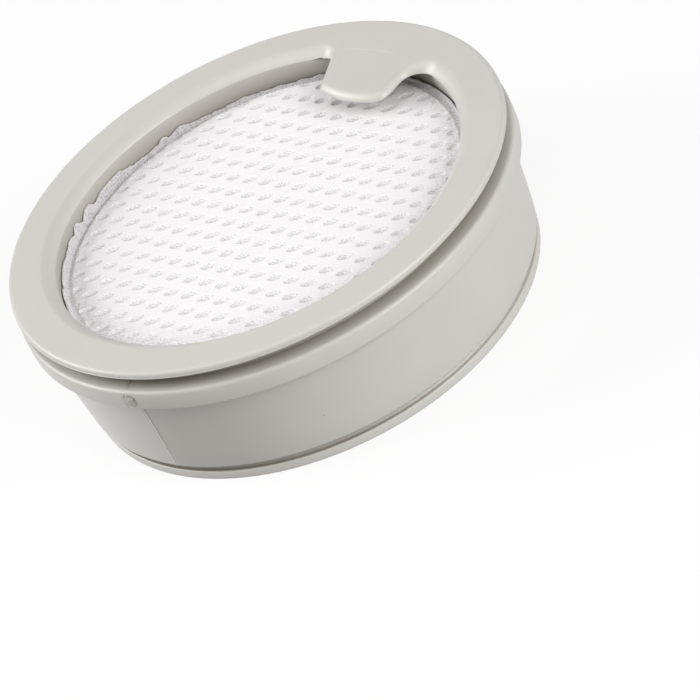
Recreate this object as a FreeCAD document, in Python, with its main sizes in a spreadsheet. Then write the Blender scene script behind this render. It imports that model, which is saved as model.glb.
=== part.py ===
"""Round pleated vacuum filter: moulded casing, mesh cloth, pleated pack, potting and separator beads.

Millimetres, +Z up, origin at the centre of the lip that the filter stands on, finger tab towards +Y.
"""
import FreeCAD, Part
import math
import os
import Sketcher

# Driving sizes in millimetres, angles in degrees.
SIZES = {
    "opening_diameter": 75.4,
    "opening_edge": 1.05,
    "flange_width": 7.3,
    "flange_thickness": 1.3,
    "flange_edge": 0.4,
    "tab_length": 11.4,
    "tab_left_reach": 7.3,
    "tab_right_reach": 7.75,
    "tab_root_angle": 18.5,
    "tab_tip_radius": 22.0,
    "tab_left_corner_radius": 1.5,
    "tab_right_corner_radius": 2.8,
    "tab_left_root_radius": 2.6,
    "tab_right_root_radius": 4.0,
    "neck_wall": 4.6,
    "neck_height": 2.6,
    "collar_wall": 7.6,
    "collar_height": 4.1,
    "collar_edge": 0.3,
    "collar_top_rise": 0.6,
    "collar_underside_rise": 0.5,
    "side_wall_top": 5.6,
    "side_wall_bottom": 4.0,
    "side_wall_height": 16.1,
    "shoulder_groove_wall": 2.7,
    "shoulder_groove_height": 1.4,
    "lip_wall": 3.6,
    "lip_height": 1.9,
    "lip_edge": 0.35,
    "lip_bore_wall": 0.1,
    "lip_bore_depth": 4.5,
    "recess_inset": 0.9,
    "well_inset": 0.5,
    "well_roll_height": 0.6,
    "ledge_clearance": 0.3,
    "ledge_thickness": 2.0,
    "cloth_depth": 4.9,
    "cloth_thickness": 1.5,
    "cloth_clearance": 0.1,
    "cloth_rim_width": 1.9,
    "cloth_gutter_depth": 0.7,
    "cloth_ridge_height": 0.25,
    "cloth_ridge_width": 1.8,
    "eyelet_pitch": 6.7,
    "eyelet_row_pitch": 6.2,
    "eyelet_row_shift": 2.4,
    "eyelet_length": 3.4,
    "eyelet_width": 2.1,
    "eyelet_margin": 1.2,
    "media_recess": 8.4,
    "media_thickness": 0.55,
    "pleat_pitch": 2.93,
    "pleat_tip_width": 1.6,
    "pleat_tip_edge": 0.4,
    "pack_inset": 7.7,
    "bond_gap": 0.05,
    "potting_shoulder_width": 3.2,
    "potting_shoulder_drop": 1.4,
    "potting_wall_drop": 3.8,
    "bead_spacing": 32.6,
    "bead_width": 1.4,
    "bead_height": 0.5,
    "bead_end_margin": 1.0,
}


def half(name):
    """Expression for half of one size."""
    return f"sizes.{name} / 2"


def outside(wall):
    """Radius that lies a wall's thickness outside the opening."""
    return f"(sizes.opening_diameter / 2 + sizes.{wall})"


def inside(inset):
    """Radius that lies an inset within the opening."""
    return f"(sizes.opening_diameter / 2 - sizes.{inset})"


# Heights above the lip's end face, as expressions on the sheet.
LIP_TOP = "sizes.lip_height"
SHOULDER = f"({LIP_TOP} + sizes.shoulder_groove_height)"
COLLAR_BASE = f"({SHOULDER} + sizes.side_wall_height)"
COLLAR_TOP = f"({COLLAR_BASE} + sizes.collar_height)"
FLANGE_BASE = f"({COLLAR_TOP} + sizes.neck_height)"
FLANGE_TOP = f"({FLANGE_BASE} + sizes.flange_thickness)"
CLOTH_FACE = f"({FLANGE_TOP} - sizes.cloth_depth)"
LEDGE = f"({CLOTH_FACE} - sizes.cloth_thickness)"
LEDGE_UNDERSIDE = f"({LEDGE} - sizes.ledge_thickness)"

# Radii that more than one piece uses.
WELL_RADIUS = inside("well_inset")
CLOTH_RADIUS = f"({WELL_RADIUS} - sizes.cloth_clearance)"
FIELD_RADIUS = f"({CLOTH_RADIUS} - sizes.cloth_rim_width)"
RECESS_RADIUS = inside("recess_inset")
PACK_RADIUS = inside("pack_inset")
LEDGE_RADIUS = f"({PACK_RADIUS} + sizes.ledge_clearance)"

doc = FreeCAD.newDocument("vacuum_filter")
sheet = doc.addObject("Spreadsheet::Sheet", "sizes")
for row, (alias, size) in enumerate(SIZES.items(), start=1):
    sheet.set(f"A{row}", alias)
    sheet.set(f"B{row}", str(size))
    sheet.setAlias(f"B{row}", alias)
doc.recompute()


def value(expression):
    """Number that an expression on the sheet gives."""
    return float(sheet.evalExpression(expression))


def new_body(label):
    body = doc.addObject("PartDesign::Body", label)
    body.Label = label
    return body


def new_sketch(body, role, name, height="0"):
    """Sketch on one of the body's origin planes, lifted along the plane's normal."""
    sketch = body.newObject("Sketcher::SketchObject", name)
    plane = next(item for item in body.Origin.OriginFeatures if item.Role == role)
    sketch.AttachmentSupport = (plane, [""])
    sketch.MapMode = "FlatFace"
    sketch.setExpression("AttachmentOffset.Base.z", height)
    return sketch


def bind(sketch, kind, *args, expression):
    """Dimension whose number comes from the sheet."""
    index = sketch.addConstraint(Sketcher.Constraint(kind, *args, value(expression)))
    sketch.setExpression(f"Constraints[{index}]", expression)


def draw_outline(sketch, corners):
    """Closed outline of straight lines; each corner is a pair of expressions."""
    points = [FreeCAD.Vector(value(x), value(y), 0) for x, y in corners]
    first = sketch.GeometryCount
    for start, end in zip(points, points[1:] + points[:1]):
        sketch.addGeometry(Part.LineSegment(start, end), False)
    last = sketch.GeometryCount - 1
    for line, (x, y) in enumerate(corners, start=first):
        after = first if line == last else line + 1
        sketch.addConstraint(Sketcher.Constraint("Coincident", line, 2, after, 1))
        bind(sketch, "DistanceX", -1, 1, line, 1, expression=x)
        bind(sketch, "DistanceY", -1, 1, line, 1, expression=y)


def draw_circle(sketch, radius):
    """Circle round the sketch's origin."""
    outline = Part.Circle(FreeCAD.Vector(), FreeCAD.Vector(0, 0, 1), value(radius))
    circle = sketch.addGeometry(outline, False)
    sketch.addConstraint(Sketcher.Constraint("Coincident", circle, 3, -1, 1))
    bind(sketch, "Radius", circle, expression=radius)


def feature(body, kind, name, sketch, **sizes):
    """Sketch-based feature; each keyword is a property bound to an expression."""
    made = body.newObject(f"PartDesign::{kind}", name)
    made.Profile = sketch
    for prop, expression in sizes.items():
        made.setExpression(prop, expression)
    return made


def revolve(body, name, corners):
    """Outline in the XZ plane turned round the Z axis."""
    sketch = new_sketch(body, "XZ_Plane", f"{name}_profile")
    draw_outline(sketch, corners)
    turned = feature(body, "Revolution", name, sketch)
    turned.ReferenceAxis = (sketch, ["V_Axis"])
    turned.Angle = 360
    doc.recompute()
    return turned


def line_pattern(body, name, original, sketch, length, count):
    """Copies of one feature along its sketch's horizontal axis."""
    pattern = body.newObject("PartDesign::LinearPattern", name)
    pattern.Originals = [original]
    pattern.Direction = (sketch, ["H_Axis"])
    pattern.setExpression("Length", length)
    pattern.Occurrences = count
    body.Tip = pattern
    doc.recompute()
    return pattern


def dress(body, kind, name, base, keep, **sizes):
    """Fillet or chamfer on those edges of a feature that the test keeps."""
    names = [f"Edge{i}" for i, edge in enumerate(base.Shape.Edges, start=1) if keep(edge)]
    dressed = body.newObject(f"PartDesign::{kind}", name)
    dressed.Base = (base, names)
    for prop, size in sizes.items():
        dressed.setExpression(prop, f"sizes.{size}")
    doc.recompute()
    return dressed


def upright_at(x, y):
    """Test for the upright edge that stands at one point of a plate's outline."""
    spot = FreeCAD.Vector(value(x), value(y), 0)

    def keep(edge):
        foot, head = (vertex.Point for vertex in (edge.Vertexes[0], edge.Vertexes[-1]))
        on_spot = math.hypot(foot.x - spot.x, foot.y - spot.y) < 1e-3
        upright = math.hypot(head.x - foot.x, head.y - foot.y) < 1e-6
        return on_spot and upright and abs(head.z - foot.z) > 1e-3

    return keep


def top_loop(within):
    """Test for edges in the flange's top plane, within or round the opening."""
    level = value(FLANGE_TOP)
    border = (value(outside("flange_width")) + value(half("opening_diameter"))) / 2

    def keep(edge):
        points = edge.discretize(5)
        flat = all(abs(point.z - level) < 1e-6 for point in points)
        reach = max(math.hypot(point.x, point.y) for point in points)
        return flat and (reach < border) == within

    return keep


def flange_plate(body):
    """Flange with its opening; the finger tab reaches in from the opening's edge."""
    opening = value(half("opening_diameter"))
    tip = "(sizes.opening_diameter / 2 - sizes.tab_length)"
    left_root_x = "-sizes.opening_diameter / 2 * sin(sizes.tab_root_angle)"
    left_root_y = "sizes.opening_diameter / 2 * cos(sizes.tab_root_angle)"
    right_root_y = "sqrt((sizes.opening_diameter / 2) ^ 2 - sizes.tab_right_reach ^ 2)"
    corners = {
        "left_root": (left_root_x, left_root_y),
        "left_tip": ("-sizes.tab_left_reach", tip),
        "right_tip": ("sizes.tab_right_reach", tip),
        "right_root": ("sizes.tab_right_reach", right_root_y),
    }
    spots = {name: FreeCAD.Vector(value(x), value(y), 0) for name, (x, y) in corners.items()}

    sketch = new_sketch(body, "XY_Plane", "flange_outline", FLANGE_BASE)
    draw_circle(sketch, outside("flange_width"))
    up = FreeCAD.Vector(0, 0, 1)
    start = math.atan2(spots["left_root"].y, spots["left_root"].x)
    end = math.atan2(spots["right_root"].y, spots["right_root"].x) + 2 * math.pi
    opening_circle = Part.Circle(FreeCAD.Vector(), up, opening)
    edge = sketch.addGeometry(Part.ArcOfCircle(opening_circle, start, end), False)
    left = sketch.addGeometry(Part.LineSegment(spots["left_root"], spots["left_tip"]), False)
    half_tip = (spots["right_tip"].x - spots["left_tip"].x) / 2
    tip_radius = value("sizes.tab_tip_radius")
    rise = math.sqrt(tip_radius ** 2 - half_tip ** 2)
    centre = (spots["left_tip"] + spots["right_tip"]) / 2 + FreeCAD.Vector(0, rise, 0)
    sweep = math.asin(half_tip / tip_radius)
    tip_circle = Part.Circle(centre, up, tip_radius)
    bow = sketch.addGeometry(Part.ArcOfCircle(tip_circle, -math.pi / 2 - sweep, -math.pi / 2 + sweep), False)
    right = sketch.addGeometry(Part.LineSegment(spots["right_tip"], spots["right_root"]), False)
    corner_pairs = ((edge, 1, left, 1), (left, 2, bow, 1), (bow, 2, right, 1), (right, 2, edge, 2))
    for pair in corner_pairs + ((edge, 3, -1, 1),):
        sketch.addConstraint(Sketcher.Constraint("Coincident", *pair))
    bind(sketch, "Radius", edge, expression=half("opening_diameter"))
    bind(sketch, "Radius", bow, expression="sizes.tab_tip_radius")
    bind(sketch, "DistanceX", -1, 1, left, 1, expression=left_root_x)
    bind(sketch, "DistanceX", -1, 1, right, 2, expression="sizes.tab_right_reach")
    for line, end_point, corner in ((left, 2, "left_tip"), (right, 1, "right_tip")):
        bind(sketch, "DistanceX", -1, 1, line, end_point, expression=corners[corner][0])
        bind(sketch, "DistanceY", -1, 1, line, end_point, expression=corners[corner][1])
    plate = feature(body, "Pad", "flange", sketch, Length="sizes.flange_thickness")
    doc.recompute()
    rounding = {
        "left_root": "tab_left_root_radius",
        "left_tip": "tab_left_corner_radius",
        "right_tip": "tab_right_corner_radius",
        "right_root": "tab_right_root_radius",
    }
    for corner, radius in rounding.items():
        keep = upright_at(*corners[corner])
        plate = dress(body, "Fillet", f"tab_{corner}", plate, keep, Radius=radius)
    plate = dress(body, "Chamfer", "opening_edge", plate, top_loop(within=True), Size="opening_edge")
    return dress(body, "Chamfer", "flange_edge", plate, top_loop(within=False), Size="flange_edge")


def build_casing():
    """Flange and tab, then neck, collar, tapered wall, shoulder, lip and inner ledge in one turn."""
    body = new_body("casing")
    flange_plate(body)
    revolve(body, "barrel", [
        (outside("lip_bore_wall"), "0"),
        (f"{outside('lip_wall')} - sizes.lip_edge", "0"),
        (outside("lip_wall"), "sizes.lip_edge"),
        (outside("lip_wall"), LIP_TOP),
        (outside("shoulder_groove_wall"), LIP_TOP),
        (outside("shoulder_groove_wall"), SHOULDER),
        (outside("side_wall_bottom"), SHOULDER),
        (outside("side_wall_top"), COLLAR_BASE),
        (outside("collar_wall"), f"{COLLAR_BASE} + sizes.collar_underside_rise"),
        (outside("collar_wall"), f"{COLLAR_TOP} - sizes.collar_edge"),
        (f"{outside('collar_wall')} - sizes.collar_edge", COLLAR_TOP),
        (outside("neck_wall"), f"{COLLAR_TOP} + sizes.collar_top_rise"),
        (outside("neck_wall"), FLANGE_BASE),
        (half("opening_diameter"), FLANGE_BASE),
        (WELL_RADIUS, f"{FLANGE_BASE} - sizes.well_roll_height"),
        (WELL_RADIUS, LEDGE),
        (LEDGE_RADIUS, LEDGE),
        (LEDGE_RADIUS, LEDGE_UNDERSIDE),
        (RECESS_RADIUS, LEDGE_UNDERSIDE),
        (RECESS_RADIUS, "sizes.lip_bore_depth"),
    ])
    return body


def prism(corners, reach):
    """Straight prism on a polygon."""
    return Part.Face(Part.makePolygon(corners + corners[:1])).extrude(reach)


def solid_group(name, solids):
    """Loose solids that a boolean takes as one operand."""
    group = doc.addObject("Part::Feature", name)
    group.Shape = Part.makeCompound(solids)
    return group


def joined(kind, name, base, tool):
    """Boolean of two objects."""
    result = doc.addObject(f"Part::{kind}", name)
    result.Base = base
    result.Tool = tool
    doc.recompute()
    return result


def build_mesh_cloth():
    """Cloth disc in the well: ridged field with staggered eyelets, and a rim tucked against the wall."""
    disc = new_body("cloth_disc")
    revolve(disc, "cloth_turn", [
        ("0", LEDGE),
        (CLOTH_RADIUS, LEDGE),
        (CLOTH_RADIUS, CLOTH_FACE),
        (f"{CLOTH_RADIUS} - sizes.cloth_rim_width / 2", f"{CLOTH_FACE} - sizes.cloth_gutter_depth"),
        (FIELD_RADIUS, CLOTH_FACE),
        ("0", CLOTH_FACE),
    ])
    reach = value(f"{FIELD_RADIUS} - sizes.eyelet_margin")
    rows = int((reach - value(half("eyelet_width"))) / value("sizes.eyelet_row_pitch"))
    field = doc.addObject("Part::Cylinder", "cloth_field")
    field.setExpression("Radius", FIELD_RADIUS)
    field.setExpression("Height", "sizes.cloth_ridge_height")
    field.setExpression("Placement.Base.z", CLOTH_FACE)
    ridges = joined("Common", "ridge_field", solid_group("ridges", ridge_solids(rows)), field)
    eyelets = solid_group("eyelets", eyelet_solids(rows, reach))
    return joined("Cut", "mesh_cloth", joined("Fuse", "ridged_disc", disc, ridges), eyelets)


def ridge_solids(rows):
    """Low ribs of yarn along X, one on each side of every row of eyelets."""
    length, base = value("sizes.opening_diameter"), value(CLOTH_FACE)
    width, height = value("sizes.cloth_ridge_width"), value("sizes.cloth_ridge_height")
    solids = []
    for row in range(-rows, rows + 2):
        y = (row - 0.5) * value("sizes.eyelet_row_pitch")
        section = [(y - width / 2, base), (y + width / 2, base), (y, base + height)]
        corners = [FreeCAD.Vector(-length / 2, across, z) for across, z in section]
        solids.append(prism(corners, FreeCAD.Vector(length, 0, 0)))
    return solids


def eyelet_solids(rows, reach):
    """Lozenges that cut the eyelets: each row is shifted against the last and ends at the field's border."""
    pitch, row_pitch = value("sizes.eyelet_pitch"), value("sizes.eyelet_row_pitch")
    length, width = value("sizes.eyelet_length"), value("sizes.eyelet_width")
    floor, height = value(LEDGE), value("sizes.cloth_thickness")
    solids = []
    for row in range(-rows, rows + 1):
        y, shift = row * row_pitch, row * value("sizes.eyelet_row_shift")
        chord = math.sqrt(reach ** 2 - (abs(y) + width / 2) ** 2) - length / 2
        first, last = math.ceil((-chord - shift) / pitch), math.floor((chord - shift) / pitch)
        for step in range(first, last + 1):
            x = shift + step * pitch
            outline = [(x - length / 2, y), (x, y - width / 2), (x + length / 2, y), (x, y + width / 2)]
            corners = [FreeCAD.Vector(px, py, floor - height) for px, py in outline]
            solids.append(prism(corners, FreeCAD.Vector(0, 0, 3 * height)))
    return solids


def build_pleated_media():
    """Filter sheet folded into pleats that run along X, cut to a round pack."""
    body = new_body("pleated_media")
    pleats = math.ceil(value(f"2 * {PACK_RADIUS} / sizes.pleat_pitch")) + 1
    first = f"({(1 - pleats) / 2} * sizes.pleat_pitch)"
    low, high, wall = "sizes.media_recess", LEDGE, "sizes.media_thickness"
    tip, corner, border = half("pleat_tip_width"), "sizes.pleat_tip_edge", half("pleat_pitch")
    crease = f"({tip} - {wall})"
    underside = [
        (f"{tip} - {corner}", low),
        (tip, f"{low} + {corner}"),
        (f"{border} - {crease}", f"{high} - {wall}"),
        (border, f"{high} - {wall}"),
    ]
    upper_side = [
        (border, high),
        (f"{border} - {tip} + {corner}", high),
        (f"{border} - {tip}", f"{high} - {corner}"),
        (crease, f"{low} + {wall}"),
    ]
    right = [(f"{first} + ({y})", z) for y, z in underside + upper_side]
    left = [(f"{first} - ({y})", z) for y, z in reversed(underside + upper_side)]
    section = new_sketch(body, "YZ_Plane", "pleat_section")
    draw_outline(section, right + left)
    pleat = feature(body, "Pad", "pleat", section, Length=f"2 * {PACK_RADIUS}")
    pleat.Midplane = True
    line_pattern(body, "pleats", pleat, section, f"{pleats - 1} * sizes.pleat_pitch", pleats)
    border_ring = new_sketch(body, "XY_Plane", "pack_border")
    draw_circle(border_ring, PACK_RADIUS)
    draw_circle(border_ring, f"2 * {PACK_RADIUS}")
    trim = feature(body, "Pocket", "round_cut", border_ring)
    trim.Reversed = True
    trim.Type = "ThroughAll"
    doc.recompute()
    return body


def build_potting_ring():
    """Sealant cast between pack, ledge and casing, its free face rising towards the casing's wall."""
    body = new_body("potting_ring")
    bore = f"({PACK_RADIUS} + sizes.bond_gap)"
    rim = f"({RECESS_RADIUS} - sizes.bond_gap)"
    revolve(body, "cast_ring", [
        (bore, LEDGE_UNDERSIDE),
        (bore, "sizes.media_recess"),
        (f"{bore} + sizes.potting_shoulder_width", "sizes.media_recess - sizes.potting_shoulder_drop"),
        (rim, "sizes.media_recess - sizes.potting_wall_drop"),
        (rim, LEDGE_UNDERSIDE),
    ])
    return body


def build_separator_bead(label, side):
    """Half-round glue line drawn across the pleat tips on one side of the pack."""
    body = new_body(label)
    offset = f"({side} * sizes.bead_spacing / 2)"
    ends = [f"({offset} - sizes.bead_width / 2)", f"({offset} + sizes.bead_width / 2)"]
    radius = "((sizes.bead_width / 2) ^ 2 + sizes.bead_height ^ 2) / (2 * sizes.bead_height)"
    start, finish = (FreeCAD.Vector(value(x), value("sizes.media_recess"), 0) for x in ends)
    lowest = (start + finish) / 2 - FreeCAD.Vector(0, value("sizes.bead_height"), 0)
    section = new_sketch(body, "XZ_Plane", f"{label}_section")
    flat = section.addGeometry(Part.LineSegment(start, finish), False)
    bow = section.addGeometry(Part.Arc(start, lowest, finish), False)
    section.addConstraint(Sketcher.Constraint("Coincident", flat, 1, bow, 1))
    section.addConstraint(Sketcher.Constraint("Coincident", flat, 2, bow, 2))
    for point, x in enumerate(ends, start=1):
        bind(section, "DistanceX", -1, 1, flat, point, expression=x)
        bind(section, "DistanceY", -1, 1, flat, point, expression="sizes.media_recess")
    bind(section, "Radius", bow, expression=radius)
    reach = f"({PACK_RADIUS} - sizes.bead_end_margin)"
    outer_side = "(sizes.bead_spacing + sizes.bead_width) / 2"
    length = f"2 * sqrt({reach} ^ 2 - ({outer_side}) ^ 2)"
    bead = feature(body, "Pad", f"{label}_pad", section, Length=length)
    bead.Midplane = True
    doc.recompute()
    return body


def check(bodies):
    """Stop before writing if any object failed or any piece isn't one valid solid."""
    for item in doc.Objects:
        if "Invalid" in item.State or "Error" in item.State:
            raise RuntimeError(f"{item.Label} failed: {item.State}")
    for body in bodies:
        shape = body.Shape
        if shape.isNull() or not shape.isValid() or len(shape.Solids) != 1:
            raise RuntimeError(f"{body.Label} isn't one valid solid")


bodies = [
    build_casing(),
    build_mesh_cloth(),
    build_pleated_media(),
    build_potting_ring(),
    build_separator_bead("separator_bead_left", -1),
    build_separator_bead("separator_bead_right", 1),
]
doc.recompute()
check(bodies)
os.makedirs("parts", exist_ok=True)
for body in bodies:
    body.Shape.exportStep(f"parts/{body.Label}.step")
    print(body.Label, f"{body.Shape.Volume:.1f} mm3")
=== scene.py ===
"""Looks of a round pleated vacuum filter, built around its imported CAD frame.

Metres, +Z up, the lip's end face on the floor, finger tab towards +Y.
"""
import math

import bmesh
import bpy
from mathutils import Matrix, Vector, noise


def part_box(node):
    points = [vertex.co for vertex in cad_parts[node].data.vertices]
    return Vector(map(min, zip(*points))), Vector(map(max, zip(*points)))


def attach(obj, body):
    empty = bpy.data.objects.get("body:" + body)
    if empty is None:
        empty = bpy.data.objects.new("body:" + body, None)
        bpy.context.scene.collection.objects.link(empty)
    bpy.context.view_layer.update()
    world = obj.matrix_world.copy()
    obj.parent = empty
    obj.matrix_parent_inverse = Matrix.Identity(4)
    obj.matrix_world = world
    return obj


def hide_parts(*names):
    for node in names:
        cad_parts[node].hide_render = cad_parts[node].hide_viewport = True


bl_info = {
    "name": "Round Vacuum Filter",
    "version": (1, 0, 0),
    "blender": (4, 5, 0),
    "location": "View3D > Sidebar > Filter",
    "description": "Casing, knitted mesh, pleated pack, sealant and glue lines of a vacuum filter",
    "category": "Object",
}

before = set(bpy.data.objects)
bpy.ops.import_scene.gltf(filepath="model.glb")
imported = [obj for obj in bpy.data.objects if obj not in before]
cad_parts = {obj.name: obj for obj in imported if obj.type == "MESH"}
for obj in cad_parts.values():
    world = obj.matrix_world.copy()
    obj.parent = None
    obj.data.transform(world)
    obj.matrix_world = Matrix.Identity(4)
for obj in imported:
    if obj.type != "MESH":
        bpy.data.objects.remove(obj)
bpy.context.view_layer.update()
MM = 0.001
UP = Vector((0, 0, 1))


class CasingSettings(bpy.types.PropertyGroup):
    """Moulded casing with its flange and finger tab."""
    edge: bpy.props.FloatProperty(
        name="Edge Rounding", description="Rounding that the mould leaves on outside edges",
        default=0.28 * MM, min=0.05 * MM, max=0.6 * MM, unit="LENGTH", precision=5)
    border: bpy.props.FloatProperty(
        name="Flat Border", description="How near its edges the flange's flat top starts to turn down",
        default=0.3 * MM, min=0.05 * MM, max=0.6 * MM, unit="LENGTH", precision=5)
    seam_turn: bpy.props.FloatProperty(
        name="Seam Turn", description="Where the mould's parting line crosses the collar, from +X",
        default=math.radians(279.6), subtype="ANGLE")
    seam_slant: bpy.props.FloatProperty(
        name="Seam Slant", description="How far the parting line turns from the collar down to the lip",
        default=math.radians(3.0), subtype="ANGLE")
    seam_width: bpy.props.FloatProperty(
        name="Seam Width", description="Width of the flash left along the parting line",
        default=0.22 * MM, min=0.05 * MM, max=1.0 * MM, unit="LENGTH", precision=5)
    gate_width: bpy.props.FloatProperty(
        name="Gate Width", description="Width of the torn gate on the collar",
        default=2.8 * MM, min=0.5 * MM, max=5.0 * MM, unit="LENGTH", precision=5)
    colour: bpy.props.StringProperty(
        name="Colour", description="Colour of the plastic as sRGB hex", default="#D4D1CB")
    shade_colour: bpy.props.StringProperty(
        name="Shade Colour", description="Darker end of the plastic's slight mottle", default="#CCC9C3")


class ClothSettings(bpy.types.PropertyGroup):
    """Knitted mesh in the top well."""
    field_radius: bpy.props.FloatProperty(
        name="Field Radius", description="Radius of the flat field of eyelets",
        default=35.2 * MM, min=20 * MM, max=37 * MM, unit="LENGTH", precision=5)
    pitch: bpy.props.FloatProperty(
        name="Eyelet Pitch", description="Distance from eyelet to eyelet along a row",
        default=3.82 * MM, min=2 * MM, max=8 * MM, unit="LENGTH", precision=5)
    row_turn: bpy.props.FloatProperty(
        name="Row Turn", description="Direction of the rows, from +X",
        default=math.radians(3.3), subtype="ANGLE")
    course_pitch: bpy.props.FloatProperty(
        name="Course Pitch", description="Distance from eyelet to eyelet across the rows",
        default=3.78 * MM, min=2 * MM, max=8 * MM, unit="LENGTH", precision=5)
    course_turn: bpy.props.FloatProperty(
        name="Course Turn", description="Direction from one row's eyelet to the next row's, from +X",
        default=math.radians(72.2), subtype="ANGLE")
    eyelet_length: bpy.props.FloatProperty(
        name="Eyelet Length", description="Longer size of one oval eyelet",
        default=3.4 * MM, min=0.5 * MM, max=4 * MM, unit="LENGTH", precision=5)
    eyelet_width: bpy.props.FloatProperty(
        name="Eyelet Width", description="Shorter size of one oval eyelet",
        default=1.9 * MM, min=0.5 * MM, max=4 * MM, unit="LENGTH", precision=5)
    eyelet_turn: bpy.props.FloatProperty(
        name="Eyelet Turn", description="Direction of the eyelet's longer size, from +X",
        default=math.radians(35), subtype="ANGLE")
    eyelet_depth: bpy.props.FloatProperty(
        name="Eyelet Depth", description="Depth from the face yarns to the ground net",
        default=0.16 * MM, min=0.05 * MM, max=1.0 * MM, unit="LENGTH", precision=5)
    thickness: bpy.props.FloatProperty(
        name="Thickness", description="Thickness of the knit",
        default=0.35 * MM, min=0.1 * MM, max=1.0 * MM, unit="LENGTH", precision=5)
    scallops: bpy.props.IntProperty(
        name="Scallops", description="Bits of the cut edge that stand up round the wall",
        default=27, min=0)
    colour: bpy.props.StringProperty(
        name="Colour", description="Colour of the face yarns as sRGB hex", default="#FDFBFC")
    ground_colour: bpy.props.StringProperty(
        name="Ground Colour", description="Colour of the ground net in the eyelets", default="#F7F4F6")
    fringe_colour: bpy.props.StringProperty(
        name="Fringe Colour", description="Colour of the thin cut edge, through which the casing shows",
        default="#D3CFD1")


class PackSettings(bpy.types.PropertyGroup):
    """Pleated pack with its sealant and glue lines."""
    radius: bpy.props.FloatProperty(
        name="Radius", description="Radius that the pleats are cut to, inside the sealant",
        default=30.5 * MM, min=10 * MM, max=36 * MM, unit="LENGTH", precision=5)
    pitch: bpy.props.FloatProperty(
        name="Pleat Pitch", description="Distance from pleat to pleat",
        default=2.93 * MM, min=1 * MM, max=8 * MM, unit="LENGTH", precision=5)
    thickness: bpy.props.FloatProperty(
        name="Sheet Thickness", description="Thickness of the filter sheet",
        default=0.4 * MM, min=0.1 * MM, max=0.8 * MM, unit="LENGTH", precision=5)
    waviness: bpy.props.FloatProperty(
        name="Waviness", description="How far the folds stray from straight lines",
        default=0.11 * MM, min=0.0, max=0.4 * MM, unit="LENGTH", precision=5)
    colour: bpy.props.StringProperty(
        name="Colour", description="Colour of the filter sheet as sRGB hex", default="#FAF9F6")
    sealant_colour: bpy.props.StringProperty(
        name="Sealant Colour", description="Colour of the cast sealant", default="#F4F0E6")
    glue_colour: bpy.props.StringProperty(
        name="Glue Colour", description="Colour of the glue lines", default="#EFEDE9")


class StageSettings(bpy.types.PropertyGroup):
    """Floor, light and camera."""
    aim: bpy.props.FloatVectorProperty(
        name="Aim", description="Point that the camera looks at",
        default=(10.699 * MM, -4.35 * MM, -2.763 * MM), unit="LENGTH", precision=5)
    azimuth: bpy.props.FloatProperty(
        name="Azimuth", description="Camera's direction from the object, from +X",
        default=math.radians(-33.088), subtype="ANGLE")
    elevation: bpy.props.FloatProperty(
        name="Elevation", description="Camera's height over the floor",
        default=math.radians(34.558), subtype="ANGLE")
    roll: bpy.props.FloatProperty(
        name="Roll", description="Camera's turn about its own line of sight",
        default=math.radians(-27.375), subtype="ANGLE")
    distance: bpy.props.FloatProperty(
        name="Distance", description="From the camera to the point that it looks at",
        default=675.78 * MM, unit="LENGTH", precision=4)
    lens: bpy.props.FloatProperty(
        name="Lens", description="Focal length on a 36 mm sensor, in millimetres", default=205.73)
    floor_colour: bpy.props.StringProperty(
        name="Floor Colour", description="Colour of the floor as sRGB hex", default="#D2D2D2")
    shadow: bpy.props.FloatProperty(
        name="Shadow", description="Share of the floor's own shading that the camera sees",
        default=0.15, min=0.0, max=1.0, subtype="FACTOR")


def linear(text):
    """Linear RGBA of an sRGB hex colour."""
    channels = [int(text[i:i + 2], 16) / 255 for i in (1, 3, 5)]
    return [c / 12.92 if c <= 0.04045 else ((c + 0.055) / 1.055) ** 2.4 for c in channels] + [1.0]


def per_mm(size):
    """Texture scale that makes a pattern's features about this many millimetres wide."""
    return 1 / (size * MM)


def at_turn(turn, radius, height):
    """Point at a turn from +X, a radius from the axis and a height."""
    return Vector((radius * math.cos(turn), radius * math.sin(turn), height))


def add(tree, kind, inputs=None, **settings):
    """Node with its settings; each input is a plain value or the socket that feeds it."""
    made = tree.nodes.new(kind)
    for name, setting in settings.items():
        setattr(made, name, setting)
    for key, value in (inputs or {}).items():
        if isinstance(value, bpy.types.NodeSocket):
            tree.links.new(value, made.inputs[key])
        else:
            made.inputs[key].default_value = value
    return made


def mix(tree, share, first, second, kind="MIX"):
    """Colour from the first to the second by a share; each is a socket or an sRGB hex text."""
    ends = [linear(end) if isinstance(end, str) else end for end in (first, second)]
    made = add(tree, "ShaderNodeMix", {
        0: share, 6: ends[0], 7: ends[1]}, data_type="RGBA", blend_type=kind)
    return made.outputs[2]


def ramp(tree, value, low, high, first=0.0, last=1.0):
    """Level that goes from first to last while the value goes from low to high."""
    made = add(tree, "ShaderNodeMapRange", {
        "Value": value, "From Min": low, "From Max": high, "To Min": first, "To Max": last})
    return made.outputs["Result"]


def combine(tree, operation, first, second):
    """Two levels joined by an operation."""
    return add(tree, "ShaderNodeMath", {0: first, 1: second}, operation=operation).outputs[0]


def measure(tree, operation, place, other=(0, 0, 0)):
    """Number from a place and another vector, such as their distance."""
    return add(tree, "ShaderNodeVectorMath", {0: place, 1: other}, operation=operation).outputs["Value"]


def from_axis(tree, place, shift=(0, 0, 0)):
    """Distance from the filter's axis, after the place is shifted."""
    level = add(tree, "ShaderNodeVectorMath", {
        0: place, 1: (1, 1, 0), 2: shift}, operation="MULTIPLY_ADD")
    return measure(tree, "LENGTH", level.outputs[0])


def clouds(tree, place, size, detail):
    """Soft noise with features about this many millimetres wide."""
    made = add(tree, "ShaderNodeTexNoise", {"Vector": place, "Scale": per_mm(size), "Detail": detail})
    return made.outputs[0]


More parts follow.
